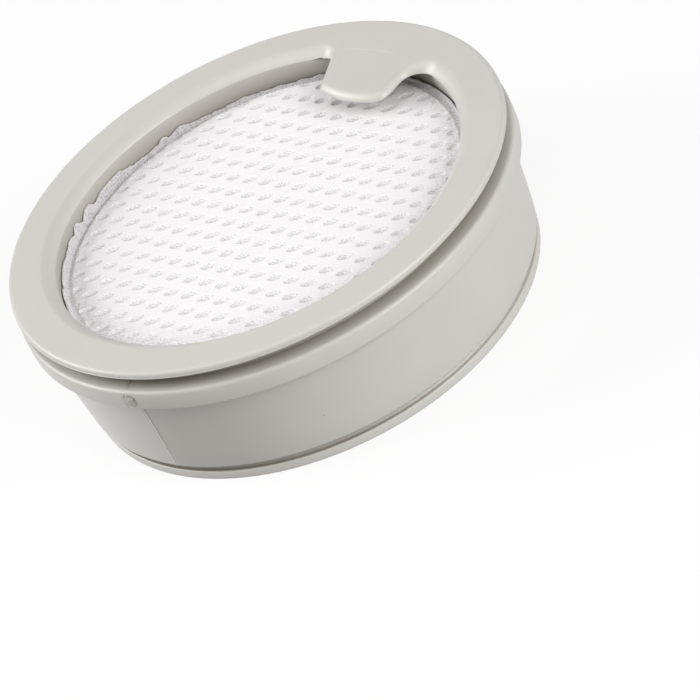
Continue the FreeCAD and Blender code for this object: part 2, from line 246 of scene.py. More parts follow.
def cells(tree, place, size, randomness=1.0):
    """Distance to the nearest of points that lie about this many millimetres apart."""
    made = add(tree, "ShaderNodeTexVoronoi", {
        "Vector": place, "Scale": per_mm(size), "Randomness": randomness}, feature="F1")
    return made.outputs["Distance"]


def bump(tree, height, strength, depth, invert=False):
    """Normal of a relief this many millimetres deep."""
    made = add(tree, "ShaderNodeBump", {
        "Height": height, "Strength": strength, "Distance": depth * MM}, invert=invert)
    return made.outputs["Normal"]


def painted(tree, name):
    """Share that the mesh's points carry under this name."""
    return add(tree, "ShaderNodeAttribute", attribute_name=name).outputs["Fac"]


def new_material(name):
    """Empty node material, its tree and the place on the object."""
    material = bpy.data.materials.new(name)
    material.use_nodes = True
    tree = material.node_tree
    tree.nodes.clear()
    return material, tree, add(tree, "ShaderNodeTexCoord").outputs["Object"]


def surface(tree, **inputs):
    """Principled shader with these inputs as the material's surface."""
    named = {name.replace("_", " "): value for name, value in inputs.items()}
    shader = add(tree, "ShaderNodeBsdfPrincipled", named)
    add(tree, "ShaderNodeOutputMaterial", {"Surface": shader.outputs[0]})


def moulded_abs(settings):
    """ABS from a fine spark-eroded mould: pale warm grey, satin, with a faint mottle."""
    material, tree, place = new_material("abs_spark_eroded_moulded")
    height = add(tree, "ShaderNodeSeparateXYZ", {0: place}).outputs["Z"]
    radius = from_axis(tree, place)
    mottle = clouds(tree, place, 11, 3.0)
    colour = mix(tree, mottle, settings.shade_colour, settings.colour)
    # A dark speck on the wall, about 0.5 mm across.
    from_speck = measure(tree, "DISTANCE", place, (31.7 * MM, -28.3 * MM, 9.25 * MM))
    colour = mix(tree, ramp(tree, from_speck, 0.2 * MM, 0.36 * MM, 0.6, 0.0), colour, "#8E8B86")
    # Painted shade: on one side of the parting line the wall is darker, standing in for a slight turn of
    # the surface across the line, and the shade fades round the wall.
    across = at_turn(settings.seam_turn - settings.seam_slant / 2 + math.pi / 2, 1, 0)
    from_seam = measure(tree, "DOT_PRODUCT", place, across)
    beside = ramp(tree, from_seam, -0.08 * MM, 0.08 * MM)
    fading = ramp(tree, from_seam, 0.08 * MM, 29.0 * MM, 1.0, 0.0)
    below_collar = ramp(tree, height, 24.0 * MM, 19.0 * MM)
    on_wall = ramp(tree, radius, 41.3 * MM, 41.6 * MM, 0.0, below_collar)
    seam_side_shade = combine(tree, "MULTIPLY", combine(tree, "MULTIPLY", beside, fading), on_wall)
    # Painted shade is multiplied into the wall's colour beside the parting line.
    colour = mix(tree, 1.0, colour, mix(tree, seam_side_shade, "#FFFFFF", "#EAE9E8"), "MULTIPLY")
    # Thin flash is paler, because light passes through it; the torn gate is darker and crumbly.
    torn = painted(tree, "torn")
    colour = mix(tree, painted(tree, "flash"), colour, "#F1EFEA")
    colour = mix(tree, torn, colour, mix(tree, cells(tree, place, 0.45), "#DEDBD4", "#9D9A92"))
    # Painted shade: the grooves and the well's wall above the cloth are darkened towards a warm brownish
    # grey where ambient occlusion finds them enclosed, standing in for the shade that falls there.
    above_ledge = ramp(tree, height, 19.0 * MM, 20.0 * MM)
    in_well = ramp(tree, radius, 38.0 * MM, 37.0 * MM, 0.0, above_ledge)
    # The painted shade in the groove over the lip is weaker on the side about 20 degrees from +X.
    to_less_shaded_side = measure(tree, "DOT_PRODUCT", place, at_turn(math.radians(20), 1, 0))
    by_lip = ramp(tree, to_less_shaded_side, 22.0 * MM, 41.0 * MM, 1.0, 0.15)
    in_grooves = ramp(tree, height, 5.0 * MM, 6.0 * MM, by_lip)
    for share, reach, unshaded_level, local in ((in_grooves, 4.0, 0.75, True), (in_well, 8.0, 0.95, False)):
        exposed = add(tree, "ShaderNodeAmbientOcclusion", {
            "Distance": reach * MM}, samples=8, only_local=local).outputs["AO"]
        # Painted shade: the colour is multiplied down towards warm grey where little light reaches.
        painted_shade = mix(tree, ramp(tree, exposed, 0.2, unshaded_level), "#9B9388", "#FFFFFF")
        colour = mix(tree, share, colour, painted_shade, "MULTIPLY")
    # The eroded grain is about 0.08 mm, drawn at 0.3 mm so that it shows.
    grain = bump(tree, clouds(tree, place, 0.3, 2.0), 0.12, 0.03)
    satin = ramp(tree, mottle, 0.0, 1.0, 0.34, 0.44)
    roughness = ramp(tree, torn, 0.0, 1.0, satin, 0.8)
    surface(tree, Base_Color=colour, Roughness=roughness, Normal=grain, IOR=1.53)
    return material


def warp_knit(settings):
    """Polyester warp knit: bright matt face yarns, and a greyer dotted net at the eyelets' bottom."""
    material, tree, place = new_material("polyester_warp_knit")
    lay = add(tree, "ShaderNodeMapping", {
        "Vector": place, "Rotation": (0, 0, -settings.row_turn)}, vector_type="POINT").outputs[0]
    # Loops of the face yarn lie 0.5 mm apart.
    loops = cells(tree, lay, 0.5, 0.45)
    face_colour = mix(tree, ramp(tree, loops, 0.3, 0.8, 0.0, 0.3), settings.colour, "#E1DEE2")
    # The ground net's meshes are 0.3 mm, drawn at 0.57 mm so that its dots show.
    dots = ramp(tree, cells(tree, lay, 0.57, 0.42), 0.22, 0.5)
    ground_colour = mix(tree, dots, "#DAD7D9", settings.ground_colour)
    fringe_colour = mix(tree, dots, "#B3AFB1", settings.fringe_colour)
    # Towards its border, most on the side towards +X and -Y, the cloth takes the greyer dotted colour of
    # the ground net: partly the finer net that shows there, partly painted shade from the wall.
    border_net_and_shade = ramp(tree, from_axis(tree, place, (2.0 * MM, -1.6 * MM, 0)), 30.5 * MM, 34.5 * MM)
    netted = combine(tree, "MAXIMUM", painted(tree, "ground"), border_net_and_shade)
    field = mix(tree, netted, face_colour, ground_colour)
    # The cut edge's greyer colour, through which the casing shows, also stands in as painted shade
    # beside the tab.
    colour = mix(tree, painted(tree, "fringe_and_shade"), field, fringe_colour)
    surface(tree, Base_Color=colour, Roughness=0.92, Normal=bump(tree, loops, 0.35, 0.08, invert=True),
            Sheen_Weight=0.15, Sheen_Roughness=0.5)
    return material


def melt_blown(settings):
    """Melt-blown polypropylene sheet: white, matt, with a faint lie of fibres along the folds."""
    material, tree, place = new_material("polypropylene_melt_blown")
    # Fibres are drawn 0.25 mm wide and 2.5 mm long along X; real ones are too fine to show.
    along_folds = add(tree, "ShaderNodeMapping", {"Vector": place, "Scale": (0.1, 1.0, 1.0)}).outputs[0]
    fibres = clouds(tree, along_folds, 0.25, 4.0)
    tone = combine(tree, "MULTIPLY", fibres, clouds(tree, place, 4, 2.0))
    colour = mix(tree, tone, "#EFEDEA", settings.colour)
    relief = bump(tree, fibres, 0.3, 0.05)
    surface(tree, Base_Color=colour, Roughness=0.88, Normal=relief, Sheen_Weight=0.1)
    return material


def cast_polyurethane(settings):
    """Cast polyurethane foam skin: cream, half matt, with slow waves and a few pin bubbles."""
    material, tree, place = new_material("polyurethane_cast_skin")
    flow = clouds(tree, place, 6, 3.0)
    colour = mix(tree, flow, "#ECE7DA", settings.sealant_colour)
    pits = ramp(tree, cells(tree, place, 1.8), 0.05, 0.16)
    relief = bump(tree, combine(tree, "ADD", flow, pits), 0.25, 0.12)
    surface(tree, Base_Color=colour, Roughness=0.48, Normal=relief,
            Subsurface_Weight=0.15, Subsurface_Scale=0.8 * MM)
    return material


def hot_melt(settings):
    """Hot-melt glue laid as a thread: milky, smooth, a little shiny."""
    material, tree, place = new_material("hot_melt_glue_thread")
    colour = mix(tree, clouds(tree, place, 2.5, 2.0), "#E6E4DF", settings.glue_colour)
    surface(tree, Base_Color=colour, Roughness=0.4, IOR=1.48,
            Subsurface_Weight=0.3, Subsurface_Scale=0.6 * MM)
    return material


def link(name, data):
    """Object of this data in the scene, at the origin."""
    made = bpy.data.objects.new(name, data)
    bpy.context.scene.collection.objects.link(made)
    return made


def finish_piece(bm, name, material, sharp=math.radians(40)):
    """Object at the origin from a bmesh, smooth but for edges sharper than the angle."""
    for face in bm.faces:
        face.smooth = True
    for edge in bm.edges:
        edge.smooth = edge.calc_face_angle(0.0) < sharp
    mesh = bpy.data.meshes.new(name)
    bm.to_mesh(mesh)
    bm.free()
    # Normals that came with a solid's mesh no longer fit its changed copy.
    if "custom_normal" in mesh.attributes:
        mesh.attributes.remove(mesh.attributes["custom_normal"])
    mesh.materials.append(material)
    piece = link(name, mesh)
    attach(piece, "root")
    return piece


def thicken(piece, thickness):
    """Thickness behind the sheet's face."""
    wall = piece.modifiers.new("Thickness", "SOLIDIFY")
    wall.thickness = thickness
    wall.offset = -1


def points_of(geom):
    """Points among what a bmesh operator made."""
    return [item for item in geom if isinstance(item, bmesh.types.BMVert)]


def trim_round(bm, radius, sides):
    """Cut away what lies outside an upright round of many flat sides."""
    sliver = 0.001 * MM
    border = radius * math.cos(math.pi / sides) - sliver
    for side in range(sides):
        out = at_turn(2 * math.pi * side / sides, 1, 0)
        near = [v for v in bm.verts if v.co.dot(out) > border]
        reached = set(near)
        for vert in near:
            reached.update(vert.link_edges)
            reached.update(vert.link_faces)
        for item in list(reached):
            if isinstance(item, bmesh.types.BMFace):
                reached.update(item.edges)
                reached.update(item.verts)
        bmesh.ops.bisect_plane(
            bm, geom=list(reached), dist=1e-8, plane_co=out * border, plane_no=out, clear_outer=True)


class FILTER_OT_casing(bpy.types.Operator):
    """Casing with its edges rounded, the mould's seam and the torn gate"""
    bl_idname = "filter.casing"
    bl_label = "Casing"

    # Straight runs of the outside that the parting line crosses: (radius, height) pairs in millimetres.
    SEAM_RUNS = (
        ((41.72, 3.5), (43.28, 19.2)),
        ((45.3, 20.1), (45.3, 23.0)),
        ((44.7, 23.58), (42.5, 24.06)),
        ((42.3, 24.2), (42.3, 26.0)),
        ((45.0, 26.4), (45.0, 26.9)),
    )
    GATE_HEIGHT = 21.6
    # Radius and height of the line round the flange's edge.
    RIM_LINE = (45.0, 26.42)
    # Widths of the finer lines, as shares of the parting line's width.
    RIM_SHARE, ROOT_SHARE = 0.6, 0.35
    # The opening's own edges lie within this depth under the top and this radius.
    OPENING = (1.6, 39.6)
    # Rings of points round the opening in millimetres: radius and height, how far they go in and down,
    # and whether their outermost points move under the tab too.
    WELL_RINGS = (
        ((37.7, 26.35), (0.9, 0.25), True),
        ((37.7, 26.1), (0.95, 0.2), False),
    )
    RING_SLACK = 0.02
    # Points of the well's wall between these heights and radii follow the slope in to the last radius.
    WELL_WALL = ((25.0, 25.9), (37.1, 37.6), 36.78)
    # Roots of the finger tab: turn in degrees where the round ends, radius where the tab's side starts.
    TAB_ROOTS = ((70.0, 32.9), (112.5, 35.45))
    # Faint line across the tab's root: radius, its ends in degrees, and its straight bits.
    ROOT_LINE = (36.9, 87.0, 105.0, 5)

    def execute(self, context):
        settings = context.scene.filter_casing
        bm = bmesh.new()
        bm.from_mesh(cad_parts["casing"].data)
        bmesh.ops.remove_doubles(bm, verts=bm.verts, dist=0.002 * MM)
        self.round_edges(bm, settings)
        flash = bm.verts.layers.float.new("flash")
        torn = bm.verts.layers.float.new("torn")
        for turn in (0.0, math.pi):
            self.seam(bm, settings, turn, flash)
        self.rim_line(bm, settings)
        self.root_line(bm, settings)
        self.torn_gate(bm, settings, torn)
        piece = finish_piece(
            bm, "casing_moulding", moulded_abs(settings), math.radians(50))
        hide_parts("casing")
        return {"FINISHED"}

    def round_edges(self, bm, settings):
        """Round the edges; the opening's edge is eased by its own slope instead."""
        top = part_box("casing")[1].z
        depth, reach = (size * MM for size in self.OPENING)

        def by_opening(edge):
            return all(v.co.z > top - depth and v.co.to_2d().length < reach for v in edge.verts)

        sharp = math.radians(22)
        corners = [e for e in bm.edges if e.calc_face_angle(0.0) > sharp and not by_opening(e)]
        bmesh.ops.bevel(
            bm, geom=corners, offset=settings.edge, offset_type="OFFSET", segments=3, profile=0.5,
            affect="EDGES", clamp_overlap=True, material=-1, loop_slide=False)
        self.ease_opening(bm)
        flat = [
            f for f in bm.faces if f.normal.z > 0.999 and f.calc_center_median().z > top - 0.01 * MM]
        bmesh.ops.inset_region(
            bm, faces=flat, thickness=settings.border, use_even_offset=True, use_boundary=True)

    def ease_opening(self, bm):
        """Lengthen the chamfer to a soft slope over the well, which fades along the tab's roots."""
        (right_turn, right_end), (left_turn, left_end) = self.TAB_ROOTS
        (low, high), (near, far), wall_radius = self.WELL_WALL
        for vert in bm.verts:
            radius, turn = vert.co.to_2d().length / MM, math.degrees(math.atan2(vert.co.y, vert.co.x))
            height = vert.co.z / MM
            root = left_end if turn > 90 else right_end
            under_tab = right_turn < turn < left_turn
            for (ring_radius, ring_height), (inward, down), tab_too in self.WELL_RINGS:
                level = abs(height - ring_height) < self.RING_SLACK
                if level and root < radius < ring_radius + self.RING_SLACK:
                    if under_tab and not tab_too and radius > ring_radius - self.RING_SLACK:
                        continue
                    share = min(1.0, (radius - root) / (ring_radius - root))
                    moved = (radius - inward * share) * MM, (height - down * share) * MM
                    vert.co = at_turn(math.radians(turn), *moved)
            if low < height < high and near < radius < far and not under_tab:
                vert.co = at_turn(math.radians(turn), wall_radius * MM, vert.co.z)

    def seam(self, bm, settings, turn, flash):
        """Flash along the parting line on one side of the casing."""
        collar = self.GATE_HEIGHT * MM
        for run in self.SEAM_RUNS:
            ends = []
            for radius, height in run:
                slant = settings.seam_slant * max(0.0, 1 - height * MM / collar)
                ends.append(at_turn(settings.seam_turn + turn - slant, radius * MM, height * MM))
            for vert in self.bar(bm, *ends, settings.seam_width):
                vert[flash] = 1.0

    def root_line(self, bm, settings):
        """Faint raised line on the flange where the tab starts."""
        radius, first, last, bits = self.ROOT_LINE
        turns = [math.radians(first + (last - first) * step / bits) for step in range(bits + 1)]
        points = [at_turn(turn, radius * MM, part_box("casing")[1].z) for turn in turns]
        for start, end in zip(points, points[1:]):
            self.bar(bm, start, end, settings.seam_width * self.ROOT_SHARE)

    def bar(self, bm, start, end, width):
        """Thin four-sided bar between two points, half sunk in the surface."""
        along = end - start
        half = width / 2
        verts = bmesh.ops.create_cone(
            bm, cap_ends=True, segments=4, radius1=half, radius2=half, depth=along.length)["verts"]
        turned = along.to_track_quat("Z", "Y").to_matrix().to_4x4()
        bmesh.ops.transform(bm, verts=verts, matrix=Matrix.Translation((start + end) / 2) @ turned)
        return verts

    def rim_line(self, bm, settings):
        """Hair-thin line round the flange's edge where the mould's plates met."""
        radius, height = (size * MM for size in self.RIM_LINE)
        place = Matrix.Translation((radius, 0, height)) @ Matrix.Rotation(math.pi / 2, 4, "X")
        section = bmesh.ops.create_circle(
            bm, segments=4, radius=settings.seam_width * self.RIM_SHARE / 2, matrix=place)["verts"]
        edges = list({e for v in section for e in v.link_edges})
        bmesh.ops.spin(
            bm, geom=section + edges, cent=(0, 0, 0), axis=UP, dvec=(0, 0, 0),
            angle=2 * math.pi, steps=240, use_merge=True)

    def torn_gate(self, bm, settings, torn):
        """Low rough lump where the gate broke off."""
        half = settings.gate_width / 2
        lump = bmesh.ops.create_icosphere(bm, subdivisions=4, radius=1.0)["verts"]
        for vert in lump:
            # Broad dents and finer crumbs, as shares of the lump's size.
            vert.co *= 1 + 0.3 * noise.noise(vert.co * 2.3) + 0.25 * noise.noise(vert.co * 7.1)
            vert[torn] = 1.0
        bmesh.ops.scale(bm, verts=lump, vec=(0.1 * half, half, 0.9 * half))
        turned = Matrix.Rotation(settings.seam_turn, 3, "Z")
        bmesh.ops.rotate(bm, verts=lump, cent=(0, 0, 0), matrix=turned)
        spot = at_turn(settings.seam_turn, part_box("casing")[1].x, self.GATE_HEIGHT * MM)
        bmesh.ops.translate(bm, verts=lump, vec=spot)


class FILTER_OT_cloth(bpy.types.Operator):
    """Knitted mesh with oval eyelets, its gutter and the cut edge that stands against the wall"""
    bl_idname = "filter.cloth"
    bl_label = "Mesh Cloth"

    # The cloth's face lies this far under the flange's top, in millimetres.
    FACE_DROP = 4.9
    # The field's border goes down to the ledge and up the wall: (radius, drop) in millimetres.
    GUTTER = ((35.28, 0.15), (35.42, 0.6), (35.7, 1.0), (36.05, 1.05), (36.3, 0.85), (36.42, 0.5))
    EDGE_RADIUS = 36.47
    # Rings of the cut edge, as shares of its height.
    WALL_EDGE = (0.4, 0.75, 1.0)
    # Turns from +X where the gutter is deepest, where the tab's shade is painted on the edge, and where
    # the edge stands highest.
    DEEP_TURN, SHADED_TURN, HIGH_TURN = (math.radians(turn) for turn in (155, 62, 205))
    # The gutter's depth opposite its deepest side, as a share.
    SHALLOW = 0.12

    def execute(self, context):
        settings = context.scene.filter_cloth
        self.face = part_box("casing")[1].z - self.FACE_DROP * MM
        bm = bmesh.new()
        ground = bm.verts.layers.float.new("ground")
        fringe_and_shade = bm.verts.layers.float.new("fringe_and_shade")
        self.knit_field(bm, settings, ground)
        trim_round(bm, settings.field_radius, 72)
        self.turn_up_edge(bm, settings, ground, fringe_and_shade)
        bmesh.ops.recalc_face_normals(bm, faces=bm.faces)
        if sum(f.normal.z for f in bm.faces) < 0:
            bmesh.ops.reverse_faces(bm, faces=bm.faces)
        piece = finish_piece(bm, "mesh_cloth_knit", warp_knit(settings), math.radians(75))
        thicken(piece, settings.thickness)
        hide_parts("mesh_cloth")
        return {"FINISHED"}

    def knit_field(self, bm, settings, ground):
        """One cell of the knit repeated over the lattice of eyelets."""
        row = at_turn(settings.row_turn, 1, 0) * settings.pitch
        course = at_turn(settings.course_turn, 1, 0) * settings.course_pitch
        cell = self.knit_cell(bm, settings, row, course, ground)
        reach = settings.field_radius + settings.pitch
        # The lattice is slanted, so it takes more steps to cover the round.
        slanted = 1.3
        steps = math.ceil(slanted * reach / settings.pitch)
        for i in range(-steps, steps + 1):
            for j in range(-steps, steps + 1):
                place = row * i + course * j
                if (i or j) and place.length < reach:
                    copy = bmesh.ops.duplicate(bm, geom=cell)["geom"]
                    bmesh.ops.translate(bm, verts=points_of(copy), vec=place)
        bmesh.ops.remove_doubles(bm, verts=bm.verts, dist=0.005 * MM)

    def knit_cell(self, bm, settings, row, course, ground):
        """Slanted cell of face yarns round one oval eyelet with the ground net at its bottom."""
        bmesh.ops.create_grid(bm, x_segments=1, y_segments=1, size=0.5)
        bmesh.ops.delete(bm, geom=bm.faces[:], context="FACES_ONLY")
        bmesh.ops.subdivide_edges(bm, edges=bm.edges[:], cuts=2)
        # The two loops are bridged at a thousand times their size, because tiny ones pair up askew.
        large = Matrix.Scale(1 / MM, 4)
        lattice = Matrix((row, course, UP)).transposed().to_4x4()
        bmesh.ops.transform(bm, matrix=large @ lattice, verts=bm.verts[:])
        border = bm.edges[:]
        size = Matrix.Diagonal((settings.eyelet_length / 2, settings.eyelet_width / 2, 1, 1))
        turn = Matrix.Rotation(settings.eyelet_turn, 4, "Z")
        bmesh.ops.create_circle(bm, cap_ends=True, segments=12, radius=1.0, matrix=large @ turn @ size)
        oval = next(f for f in bm.faces)
        bmesh.ops.bridge_loops(bm, edges=border + list(oval.edges))
        bmesh.ops.transform(
            bm, matrix=Matrix.Translation((0, 0, self.face)) @ Matrix.Scale(MM, 4), verts=bm.verts[:])
        # A flat rim of face yarn, then the slope down to the net.
        for depth, share in ((0.0, 0.1), (settings.eyelet_depth, 1.0)):
            bmesh.ops.inset_individual(bm, faces=[oval], thickness=0.1 * MM, depth=-depth)
            for vert in oval.verts:
                vert[ground] = share
        return bm.verts[:] + bm.edges[:] + bm.faces[:]

    def turn_up_edge(self, bm, settings, ground, fringe_and_shade):
        """Gutter round the field, then the cut edge that stands in flaps against the wall."""
        for radius, drop in self.GUTTER:
            # From half a millimetre down, the ground net shows fully.
            self.grow(bm, ground, fringe_and_shade, min(1.0, drop * 2), lambda turn: (
                radius * MM, self.face - drop * self.deep(turn) * MM))
        last_drop = self.GUTTER[-1][1]
        for share in self.WALL_EDGE:
            self.grow(bm, ground, fringe_and_shade, 1.0, lambda turn: (
                self.EDGE_RADIUS * MM, self.face + MM * (
                    share * self.edge_height(settings, turn) - last_drop * self.deep(turn))))

    def deep(self, turn):
        """Share of the gutter's full depth at a turn: the cloth is pushed in deepest on one side."""
        return self.SHALLOW + (1 - self.SHALLOW) * math.sqrt(max(0.0, math.cos(turn - self.DEEP_TURN)))

    def grow(self, bm, ground, fringe_and_shade, share, place):
        """One more ring of cloth outside the border; place gives radius and height at a turn."""
        rim = [e for e in bm.edges if e.is_boundary]
        grown = bmesh.ops.extrude_edge_only(bm, edges=rim)["geom"]
        for vert in points_of(grown):
            turn = math.atan2(vert.co.y, vert.co.x)
            vert.co = at_turn(turn, *place(turn))
            vert[ground] = share
            # Painted shade: beside the tab the edge takes the cut edge's greyer colour where the tab's
            # shade falls; on the gutter's deep side it is the cut edge's own look.
            shaded = max(0.0, math.cos(turn - self.SHADED_TURN)) ** 8
            vert[fringe_and_shade] = share * max(shaded, self.deep(turn) ** 2)

    def edge_height(self, settings, turn):
        """Millimetres that the cut edge stands above the gutter's outer side at a turn."""
        spot = Vector((math.cos(turn), math.sin(turn), 0.3))
        # Flaps come at uneven distances and in uneven sizes, some of them none.
        phase = settings.scallops * turn + 9 * noise.noise(spot * 3.3)
        size = max(0.0, 0.4 + 1.3 * noise.noise(spot * 5.3 + UP))
        flap = size * (0.5 + 0.5 * math.sin(phase)) ** 0.6
        band = max(0.0, math.cos(turn - self.HIGH_TURN)) ** 6
        rough = 0.3 * noise.noise(spot * 38) + 0.2 * noise.noise(spot * 90)
        lowest = 0.25
        return lowest + (0.9 * band + 1.4 * flap + rough) * self.deep(turn)


class FILTER_OT_media(bpy.types.Operator):
    """Filter sheet folded in pleats along X and cut to a round pack"""
    bl_idname = "filter.media"
    bl_label = "Pleated Media"

    # Half of one pleat's outer face from the middle of its tip: (across, above the tip) in millimetres.
    HALF_PLEAT = (
        (0.0, 0.0), (0.42, 0.03), (0.66, 0.16), (0.79, 0.42), (0.84, 1.2),
        (1.10, 10.2), (1.2, 11.9), (1.32, 12.35), (1.465, 12.45),
    )
    # In millimetres: height above the tips over which a fold strays, length of one stray along it,
    # how far from its ends a tip narrows and lifts, and how much it lifts.
    FREE_HEIGHT, STRAY_LENGTH, NARROW_RUN, LIFT_RUN, LIFT = 9.0, 7.0, 2.6, 1.6, 0.5

    def execute(self, context):
        settings = context.scene.filter_pack
        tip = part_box("pleated_media")[0].z
        bm = bmesh.new()
        self.fold(bm, settings, tip)
        trim_round(bm, settings.radius, 64)
        self.ease(bm, settings, tip)
        piece = finish_piece(
            bm, "pleated_media_sheet", melt_blown(settings), math.radians(80))
        thicken(piece, settings.thickness)
        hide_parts("pleated_media")
        strip = 2 * settings.radius
        length = sum(self.fold_lengths()) * strip / settings.pitch
        return {"FINISHED"}

    def fold_lengths(self):
        """Lengths in metres of the straight bits of one whole pleat."""
        for start, end in zip(self.HALF_PLEAT, self.HALF_PLEAT[1:]):
            yield 2 * math.dist(start, end) * MM

    def fold(self, bm, settings, tip):
        """Section of one pleat, mirrored and repeated across Y, then drawn out along X."""
        reach = settings.radius + MM
        verts = [bm.verts.new((-reach, y * MM, tip + z * MM)) for y, z in self.HALF_PLEAT]
        for start, end in zip(verts, verts[1:]):
            bm.edges.new((start, end))
        bmesh.ops.mirror(bm, geom=bm.verts[:] + bm.edges[:], axis="Y", merge_dist=0.001 * MM)
        pleat = bm.verts[:] + bm.edges[:]
        count = math.ceil(reach / settings.pitch)
        for step in range(-count, count + 1):
            if step:
                copy = bmesh.ops.duplicate(bm, geom=pleat)["geom"]
                bmesh.ops.translate(bm, verts=points_of(copy), vec=(0, step * settings.pitch, 0))
        bmesh.ops.remove_doubles(bm, verts=bm.verts, dist=0.002 * MM)
        drawn = bmesh.ops.extrude_edge_only(bm, edges=bm.edges[:])["geom"]
        bmesh.ops.translate(bm, verts=points_of(drawn), vec=(2 * reach, 0, 0))
        bm.normal_update()
        rails = [e for e in bm.edges if abs(e.verts[0].co.x - e.verts[1].co.x) > reach]
        bmesh.ops.subdivide_edges(bm, edges=rails, cuts=35, use_grid_fill=True)
        bmesh.ops.recalc_face_normals(bm, faces=bm.faces)
        tips = [f for f in bm.faces if f.calc_center_median().z < tip + 0.05 * MM]
        if sum(f.normal.z for f in tips) > 0:
            bmesh.ops.reverse_faces(bm, faces=bm.faces)

    def ease(self, bm, settings, tip):
        """Tips stray a little from straight and narrow where they run into the sealant."""
        for vert in bm.verts:
            pleat = round(vert.co.y / settings.pitch)
            free = 1 - min(1.0, (vert.co.z - tip) / (self.FREE_HEIGHT * MM))
            # Each pleat has its own row of the noise.
            place = Vector((vert.co.x / (self.STRAY_LENGTH * MM), pleat * 3.7, 0.5))
            side = noise.noise(place) * settings.waviness * free
            lift = noise.noise(place + Vector((0, 0, 5))) * settings.waviness * free
            run = settings.radius - math.hypot(vert.co.x, vert.co.y)
            pinch = 1 - 0.5 * free * max(0.0, 1 - run / (self.NARROW_RUN * MM)) ** 1.5
            middle = pleat * settings.pitch
            vert.co.y = middle + (vert.co.y - middle) * pinch + side
            vert.co.z += lift + self.LIFT * MM * free * max(0.0, 1 - run / (self.LIFT_RUN * MM)) ** 2


class FILTER_OT_sealant(bpy.types.Operator):
    """Cast sealant ring: ragged where it met the pleats, creeping up the casing's wall"""
    bl_idname = "filter.sealant"
    bl_label = "Sealant"

    # Section of the ring from the pack along the free face to the wall: (radius, height) in millimetres.
    SECTION = (
        (30.05, 19.0), (30.05, 9.6), (30.12, 8.55), (30.5, 8.2), (31.2, 7.85), (32.4, 7.35),
        (33.8, 6.75), (35.2, 6.05), (36.2, 5.3), (36.6, 4.75), (36.75, 4.4), (36.75, 19.0),
    )
    STEPS = 480
    # In millimetres: radii of the pack and of the wall, and height above which the ring is hidden.
    INNER, OUTER, HIDDEN = 30.0, 36.7, 10.0
    # In millimetres: width of the ragged edge, length of one stray along it, length and height of one
    # wave of the skin, and the run beside the wall over which the waves die out.
    RAGGED_REACH, STRAY_LENGTH, WAVE_LENGTH, WAVE, OFF_WALL = 1.6, 2.1, 7.0, 0.16, 2.0

    def execute(self, context):
        settings = context.scene.filter_pack
        bm = bmesh.new()
        verts = [bm.verts.new((r * MM, 0, z * MM)) for r, z in self.SECTION]
        edges = [bm.edges.new(pair) for pair in zip(verts, verts[1:] + verts[:1])]
        bmesh.ops.spin(bm, geom=verts + edges, cent=(0, 0, 0), axis=UP, dvec=(0, 0, 0),
                       angle=2 * math.pi, steps=self.STEPS, use_merge=True)
        bmesh.ops.remove_doubles(bm, verts=bm.verts, dist=0.001 * MM)
        bmesh.ops.recalc_face_normals(bm, faces=bm.faces)
        self.ragged(bm, settings)
        piece = finish_piece(bm, "potting_sealant", cast_polyurethane(settings))
        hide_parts("potting_ring")
        return {"FINISHED"}

    def ragged(self, bm, settings):
        """The inner edge laps over pleat tips and draws back between them; the skin is a little wavy."""
        for vert in bm.verts:
            radius = math.hypot(vert.co.x, vert.co.y)
            if vert.co.z > self.HIDDEN * MM:
                continue
            near = max(0.0, 1 - (radius - self.INNER * MM) / (self.RAGGED_REACH * MM))
            turn = math.atan2(vert.co.y, vert.co.x)
            lap = math.cos(2 * math.pi * vert.co.y / settings.pitch) * abs(math.cos(turn))
            stray = noise.noise(Vector((vert.co.x, vert.co.y, 0)) / (self.STRAY_LENGTH * MM))
            shift = near * (0.1 - 0.5 * lap + 0.35 * stray) * MM
            free = max(0.0, min(1.0, (self.OUTER * MM - radius) / (self.OFF_WALL * MM)))
            wave = noise.noise(Vector((vert.co.x, vert.co.y, 9)) / (self.WAVE_LENGTH * MM))
            vert.co.z += free * self.WAVE * MM * wave
            vert.co.x += shift * math.cos(turn)
            vert.co.y += shift * math.sin(turn)


